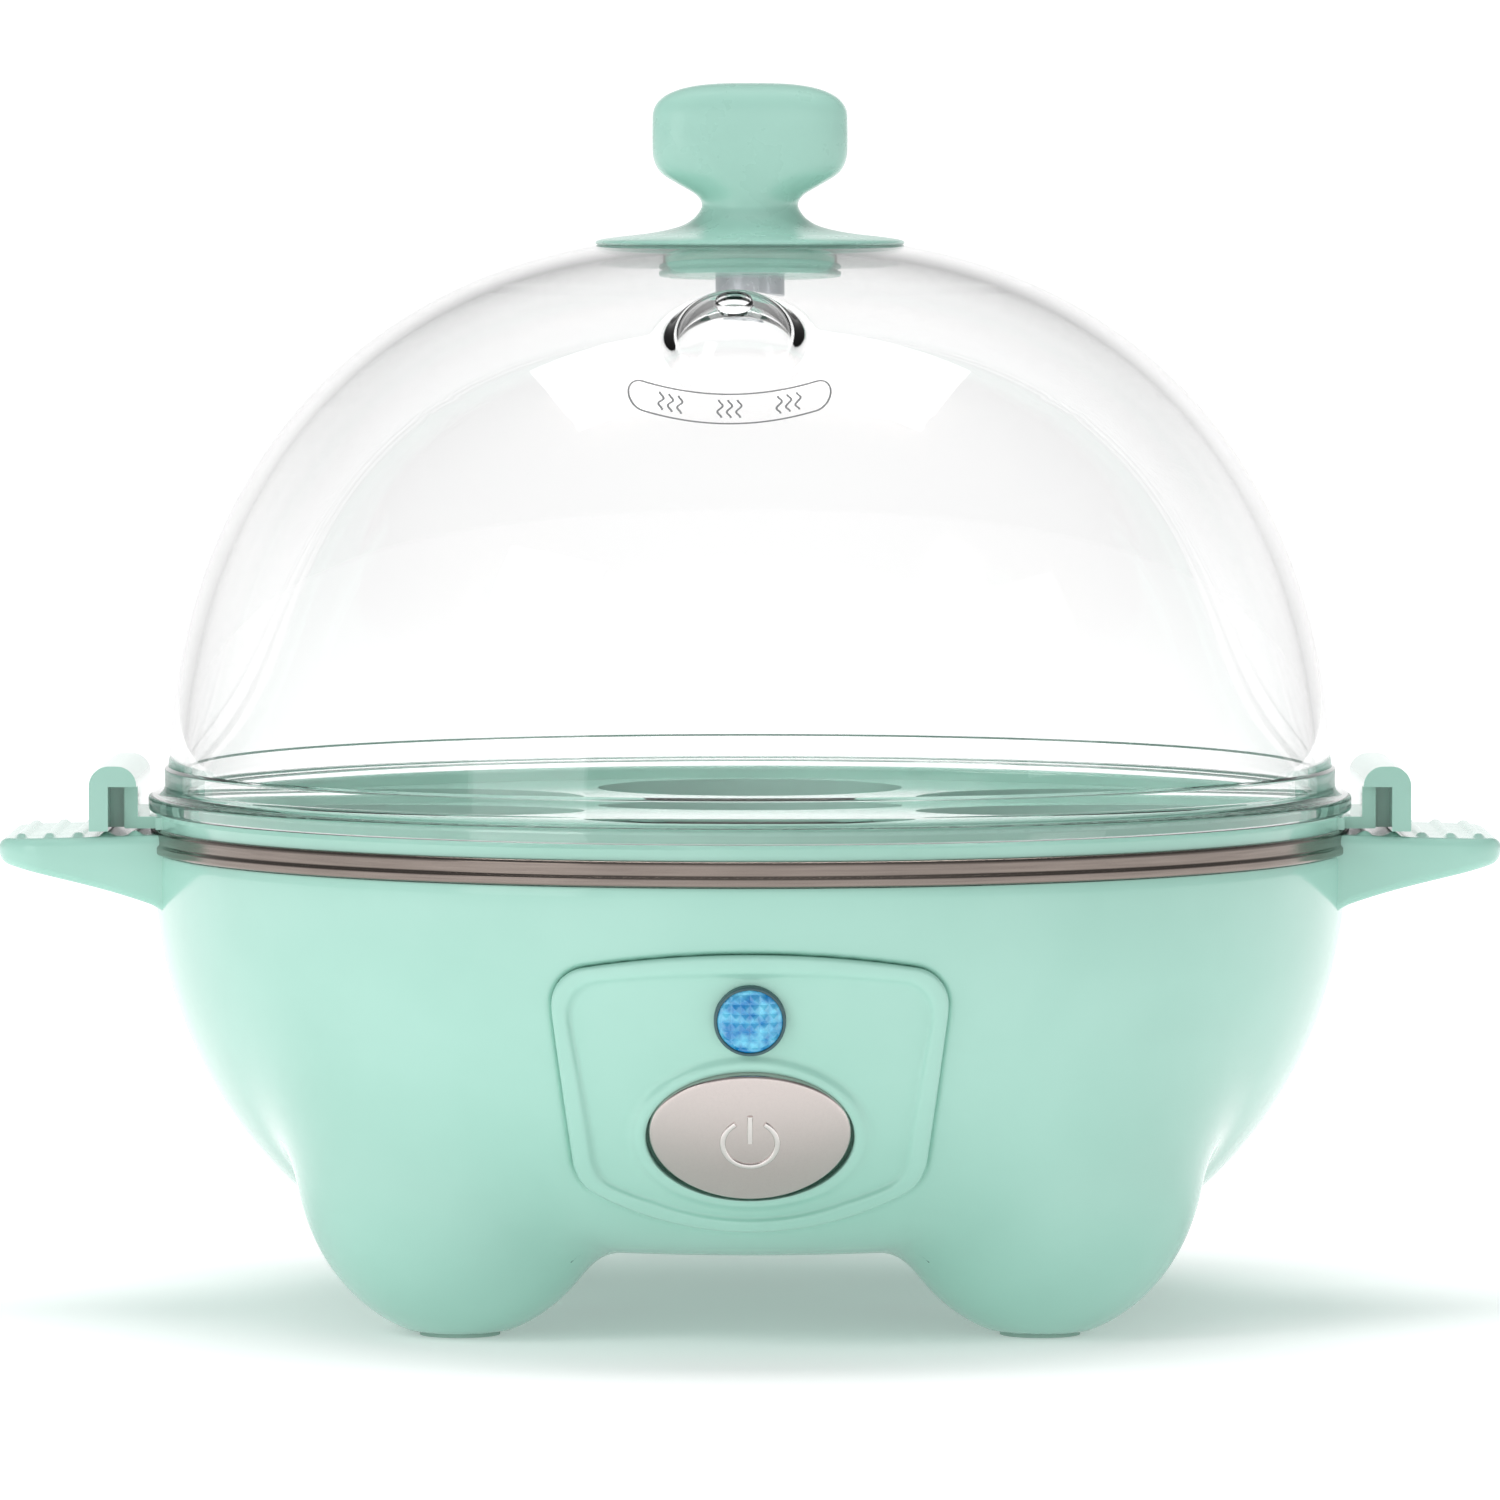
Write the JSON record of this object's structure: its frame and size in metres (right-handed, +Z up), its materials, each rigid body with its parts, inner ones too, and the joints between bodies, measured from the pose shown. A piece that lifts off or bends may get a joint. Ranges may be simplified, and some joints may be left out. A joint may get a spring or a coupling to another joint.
{
  "type": "egg cooker",
  "caption": "Electric egg cooker: round footed base with steel heating plate and push button, lift-out egg tray and clear domed lid with a knob and steam vent.",
  "frame": {"origin": "on the table under the middle of the cooker", "axes": "+X to the cooker's left-hand wing as seen from behind, that is to the right in the front view; +Y to the back; -Y is the front with the control panel; +Z up"},
  "size_m": [0.19, 0.1532, 0.1556],
  "materials": {
    "aqua_plastic": "glossy moulded polypropylene",
    "tray_plastic": "glossy moulded polypropylene",
    "knob_plastic": "satin moulded polypropylene",
    "clear_plastic": "clear polished copolyester",
    "stainless_steel": "brushed stainless steel",
    "zinc_steel": "zinc plated",
    "aluminium": "plain rolled",
    "element_sheath": "oxidised sheath",
    "brass": "turned",
    "silicone": "matte silicone",
    "pad_rubber": "matte rubber",
    "satin_metal": "satin metallised plastic",
    "blue_lens": "clear blue faceted",
    "clear_lamp": "clear",
    "circuit_board": "solder mask",
    "black_plastic": "matte moulded",
    "white_plastic": "matte moulded",
    "lead_insulation": "silicone sleeving"
  },
  "bodies": {
    "base": {"base_housing": "aqua_plastic", "bottom_cover": "aqua_plastic", "cover_screws": "zinc_steel", "heating_plate": "stainless_steel", "rim_gasket": "silicone", "heat_spreader": "aluminium", "heating_element": "element_sheath", "thermostat": "black_plastic", "thermostat_clip": "zinc_steel", "thermal_fuse": "brass", "fuse_clip": "zinc_steel", "panel_bezel": "aqua_plastic", "switch_bracket": "black_plastic", "switch_body": "black_plastic", "panel_screws": "zinc_steel", "indicator_lens": "blue_lens", "indicator_lamp": "clear_lamp", "indicator_board": "circuit_board", "cord_gland": "black_plastic", "gland_nut": "black_plastic", "terminal_block": "white_plastic", "foot_pad_1": "pad_rubber", "foot_pad_2": "pad_rubber", "foot_pad_3": "pad_rubber", "foot_pad_4": "pad_rubber", "plate_post_1": "brass", "plate_post_2": "brass", "plate_post_3": "brass", "element_terminal_1": "brass", "element_terminal_2": "brass", "lead_1": "lead_insulation", "lead_2": "lead_insulation", "lead_3": "lead_insulation"},
    "button": {"power_button": "satin_metal", "switch_plunger": "white_plastic", "button_spring": "zinc_steel"},
    "tray": {"egg_tray": "tray_plastic"},
    "lid": {"lid_dome": "clear_plastic", "lid_knob": "knob_plastic", "knob_seal": "silicone", "knob_collar": "knob_plastic", "knob_screw": "stainless_steel"}
  },
  "joints": [
    {"name": "button_press", "type": "slide", "parent": "base", "child": "button", "axis": [0, 0.8765, 0.4814], "range_m": [0, 0.002], "stiffness_N_per_m": 600, "springref_m": -0.002, "deforming": ["button_spring"]},
    {"name": "tray_lift", "type": "slide", "parent": "base", "child": "tray", "axis": [0, 0, 1], "range_m": [0, 0.06]},
    {"name": "lid_lift", "type": "slide", "parent": "tray", "child": "lid", "axis": [0, 0, 1], "range_m": [0, 0.09]}
  ]
}
